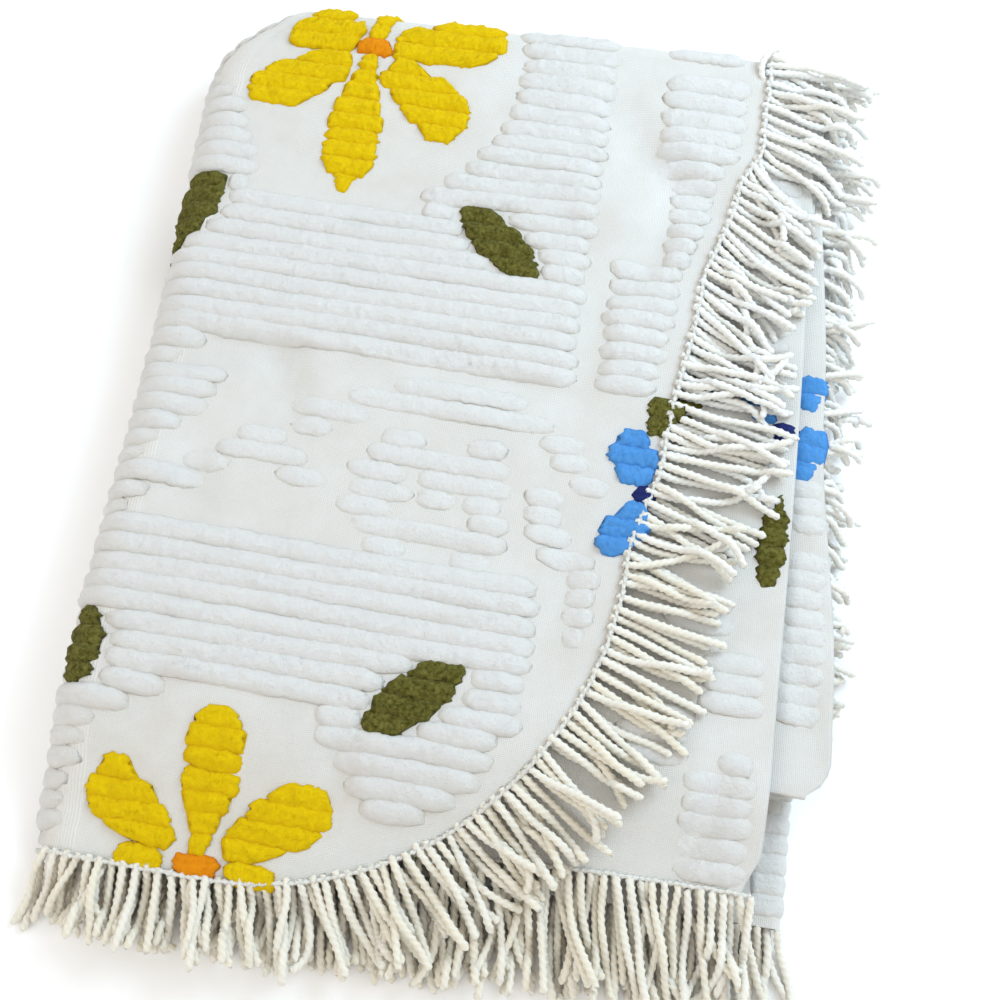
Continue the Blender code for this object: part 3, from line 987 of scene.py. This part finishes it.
def hem_roots(u, v, out, pitch, offset=0.0):
    """Roots and headings at an even spacing along a hem given as flat points."""
    line = place(u, v, out)
    du, dv = np.gradient(u), np.gradient(v)
    size = np.hypot(du, dv)
    ou, ov = dv / size, -du / size
    ahead = place(u + 6 * ou, v + 6 * ov, out) - line
    seg = np.linalg.norm(np.diff(line, axis=0), axis=1)
    at = np.concatenate([[0], np.cumsum(seg)])
    stops = np.arange(offset, at[-1], pitch)
    root = np.stack([np.interp(stops, at, line[:, c]) for c in range(3)], -1)
    way = np.stack([np.interp(stops, at, ahead[:, c]) for c in range(3)], -1)
    return root, np.arctan2(way[:, 1], way[:, 0]), line


def top_hem(mirror, reach_back, reach_left):
    """Flat points of the top hem, from past the back fold to the left fold."""
    v = np.concatenate([
        np.arange(RUN_W2 + reach_back, CORNER_R + HEM_IN, -3.0),
        HEM_IN + CORNER_R * (1 - np.cos(np.radians(np.arange(90, -0.1, -1.0)))),
    ])
    u = TOP_REACH - foot_x(v)
    more = np.arange(TOP_REACH - CORNER_X + 2, RUN_L2 + reach_left, 2.0)
    u, v = np.concatenate([u, more]), np.concatenate([v, 0 * more + HEM_IN])
    v = np.maximum(v, HEM_IN)
    return (u, WIDTH - v) if mirror else (u, v)


def side_hem(u0, u1, mirror):
    u = np.arange(u0, u1, 3.0 if u1 > u0 else -3.0)
    v = side_trim(u, np.zeros(u.shape))
    return (u, WIDTH - v) if mirror else (u, v)


def grow(ground, hem, out, pitch, rng, long, offset=0.0, spread_by=0.10, bias=None, flip=False,
         clear=0.0, keep=None):
    u, v = hem
    root, heading, line = hem_roots(u, v, out, pitch, offset)
    if flip:
        heading = heading + math.pi
    paths = []
    for k in np.random.default_rng(5).permutation(len(root)):
        if keep is not None and not keep(root[k]):
            continue
        way = heading[k] + rng.normal(0, spread_by)
        if bias is not None:
            way += bias(root[k])
        at = root[k] + np.array([math.cos(heading[k]), math.sin(heading[k]), 0]) * clear
        at = at + np.array([rng.normal(0, 0.7), rng.normal(0, 0.7), rng.uniform(-0.3, 0.6)])
        size = (long(root[k]) if callable(long) else long) * rng.uniform(0.93, 1.07)
        paths.append(lay_cord(ground, at, way, rng, size, rise=rng.uniform(-0.05, 0.22)))
    return paths, line


def fringes():
    rng = np.random.default_rng(9)
    ground = Ground()
    made = []

    def bundle(name, groups):
        paths = [p for group in groups for p in group]
        points, faces, crown, tone = cord_mesh(paths, rng)
        made.append(make_piece(name, points, faces, YARN, None, {"crown": crown, "tone": tone}))

    # Lowest layers: their cords lie on the surface in front.
    start, stop = RUN_L2 + ARC_L2 - 8, RUN_L1 + 8
    drift = lambda p: 0.05 + 0.0006 * (p[0] + 60)
    low_a, _ = grow(ground, side_hem(start, stop, False), -0.5, 12.5, rng, 61, 3.0, bias=drift)
    low_b, _ = grow(ground, side_hem(stop - 4, start, True), -0.5, 12.5, rng, 60, 6.0, bias=drift)
    low_c, _ = grow(
        ground, side_hem(LENGTH - RUN_L1 - 8, LENGTH - RUN_L2 - ARC_L2 + 8, False), -0.5,
        13.0, rng, 72, 8.0, bias=drift)
    bundle("cords_low", (low_a, low_b, low_c))

    uu, vv = np.meshgrid(
        np.arange(RUN_L2 + ARC_L2, LENGTH - RUN_L2 - ARC_L2, 1.7),
        np.arange(36, WIDTH - 36, 1.7), indexing="ij")
    ground.cloth(uu, vv, 1.0)

    # Foot hem of the layers folded under: cords at the right.
    v = np.arange(RUN_W1 - 3, RUN_W2 + ARC_W2 - 14, -3.0)
    out_a = (TOP_REACH - foot_x(v), v)
    v = np.arange(WIDTH - RUN_W1 + 3, WIDTH - RUN_W2 - ARC_W2 + 14, 3.0)
    out_b = (TOP_REACH - foot_x(v), v)
    side_bias = lambda p: -0.10 * ease((-p[1]) / 200) - 0.06
    shown = lambda p: p[1] > -143
    right_b, _ = grow(ground, out_b, -0.5, 10.5, rng, 87, 4.0, 0.10, side_bias, flip=True,
                      keep=shown)
    right_a, _ = grow(ground, out_a, -0.5, 8.6, rng, 89, 1.0, 0.12, side_bias, keep=shown)
    bundle("cords_right", (right_b, right_a))

    uu, vv = np.meshgrid(np.arange(0, RUN_L2, 1.7), np.arange(RUN_W2, WIDTH - RUN_W2, 1.7),
                         indexing="ij")
    uu = np.where(uu < TOP_REACH - foot_x(vv), np.nan, uu)
    keep = ~np.isnan(uu)
    ground.cloth(uu[keep], vv[keep], 1.0)
    uu, vv = np.meshgrid(np.arange(LENGTH - RUN_L2, LENGTH + 90, 1.7),
                         np.arange(RUN_W2, WIDTH - RUN_W2, 1.7), indexing="ij")
    keep = uu < LENGTH - (TOP_REACH - along(HEAD_HEM, vv))
    ground.cloth(uu[keep], vv[keep], 1.8)

    # Side hems of the second layers, at the front.
    head = LENGTH + 38
    s_a, _ = grow(ground, side_hem(LENGTH - RUN_L2 + 4, head - 8, False), -0.5, 11.0, rng, 76, 5.0,
                  bias=drift)
    s_b, s_line = grow(ground, side_hem(head, LENGTH - RUN_L2 + 4, True), -0.5, 8.0, rng, 82, 1.0,
                       0.08, drift)
    bundle("cords_front", (s_a, s_b))

    uu, vv = np.meshgrid(np.arange(LENGTH - RUN_L2, LENGTH + 60, 1.7),
                         np.concatenate([np.arange(30, RUN_W2, 1.7),
                                         np.arange(WIDTH - RUN_W2, WIDTH - 24, 1.7)]), indexing="ij")
    keep = uu < LENGTH - (TOP_REACH - along(HEAD_HEM, vv))
    keep &= np.minimum(vv, WIDTH - vv) > along(SIDE_HEM, uu) + 2
    ground.cloth(uu[keep], vv[keep], 1.6)

    # The top layers' hem, both cloths.
    def sweep(p):
        front = ease((-p[1] - 150) / 120)
        back = ease((p[1] - 60) / 90) * (1 - 0.6 * ease((p[1] - 290) / 70))
        left = 0.26 * front * ease((-p[0] - 205) / 45)
        return 0.22 * front * ease((p[0] + 260) / 160) - 0.30 * back - 0.04 - left

    def reach(p):
        side = 21 * ease((p[0] + 190) / 200) + 6 * ease((p[1] - 60) / 80)
        return 57 + side + 17 * math.exp(-(((p[1] - 42) / 55) ** 2)) * ease(p[0] / 60)

    b_hem = top_hem(True, 10.0, 8.0)
    a_hem = top_hem(False, 6.0, 20.0)
    top_b, _ = grow(ground, b_hem, -0.5, 11.0, rng, lambda p: 0.93 * reach(p), 4.6, 0.10, sweep,
                    flip=True, clear=-4.0)
    top_a, a_line = grow(ground, a_hem, 1.6, 7.7, rng, reach, 0.5, 0.075, sweep, clear=-3.0)
    # One cord stands up at the back right corner.
    stray = [(TOP_REACH - 3 - MIDDLE[0], BACK - 26 - MIDDLE[1], 60.0)]
    for k in range(19):
        x, y, z = stray[-1]
        way = 2.3 - 0.12 * k
        stray.append((x + 1.8 * math.cos(way), y + 1.8 * math.sin(way), z + 1.0 - 0.055 * k))
    top_a.append(np.array(stray))
    bundle("cords_top", (top_b, top_a))

    # A thin twisted cord sewn along each hem that shows, where the cords start.
    edges = []
    for line in (a_line, s_line):
        bump = 0.8 * noise(np.arange(len(line)) / 1.7, 0.0, 61)
        lifted = line + np.stack([bump, 0.6 * bump, 1.1 + 0.4 * bump], -1)
        edges.append(lifted)
    points, faces, crown, tone = cord_mesh(edges, rng, radius=2.25, twist=9.5, sides=6,
                                           step=1.0, tones=(0.6, 0.5), lobes=0.72)
    made.append(make_piece("hem_cord", points, faces, YARN, None, {"crown": crown, "tone": tone}))
    return made


# ======================================================================== build
cloth = make_cloth()
pile = tufts()
cords = fringes()
for piece in [cloth, *pile, *cords]:
    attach(piece, "root")
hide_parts("bedspread_cloth")
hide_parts("fringe_top")
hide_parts("fringe_right")
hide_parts("fringe_front")
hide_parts("fringe_base")

# ================================================================ floor, lights
plane = bpy.data.meshes.new("floor")
plane.from_pydata([(-6, -6, 0), (6, -6, 0), (6, 6, 0), (-6, 6, 0)], [], [(0, 1, 2, 3)])
paper = Nodes("floor_paper")
paper.shader.inputs["Base Color"].default_value = (0.97, 0.97, 0.97, 1)
paper.shader.inputs["Roughness"].default_value = 0.9
plane.materials.append(paper.material)
floor = bpy.data.objects.new("floor", plane)
bpy.context.scene.collection.objects.link(floor)

world = bpy.data.worlds.new("studio")
world.use_nodes = True
world.node_tree.nodes["Background"].inputs["Color"].default_value = (0.985, 0.975, 0.955, 1)
world.node_tree.nodes["Background"].inputs["Strength"].default_value = 0.87
bpy.context.scene.world = world


def area_light(name, at, aim, size, power, colour):
    data = bpy.data.lights.new(name, "AREA")
    data.shape, data.size, data.energy, data.color = "SQUARE", size, power, colour
    lamp = bpy.data.objects.new(name, data)
    way = np.array(aim, float) - np.array(at, float)
    from mathutils import Vector

    lamp.rotation_euler = Vector(way).to_track_quat("-Z", "Y").to_euler()
    lamp.location = at
    bpy.context.scene.collection.objects.link(lamp)


area_light("key", (0.95, 0.75, 1.1), (0.12, 0.08, 0), 0.9, 19, (0.62, 0.83, 1.0))
area_light("fill", (-1.2, -0.9, 1.2), (0, 0, 0), 1.2, 6, (1.0, 0.96, 0.90))

# ======================================================================= camera
FOCAL_PX, ELEVATION, AZIMUTH, DISTANCE = 1389.0, 70.0, 8.0, 0.958
el, az = math.radians(ELEVATION), math.radians(AZIMUTH)
back = np.array([math.sin(az) * math.cos(el), -math.cos(az) * math.cos(el), math.sin(el)])
right = np.array([math.cos(az), math.sin(az), 0.0])
up = np.cross(back, right)
aim = np.array([-MIDDLE[0], -MIDDLE[1], 55.0]) * 0.001
at = aim + back * DISTANCE
camera_data = bpy.data.cameras.new("camera")
camera_data.sensor_width = 36.0
camera_data.lens = 36.0 * FOCAL_PX / 1000.0
camera = bpy.data.objects.new("camera", camera_data)
from mathutils import Matrix

camera.matrix_world = Matrix(
    [[right[0], up[0], back[0], at[0]],
     [right[1], up[1], back[1], at[1]],
     [right[2], up[2], back[2], at[2]],
     [0, 0, 0, 1]]
)
bpy.context.scene.collection.objects.link(camera)
bpy.context.scene.camera = camera
bpy.context.scene.view_settings.view_transform = "Standard"
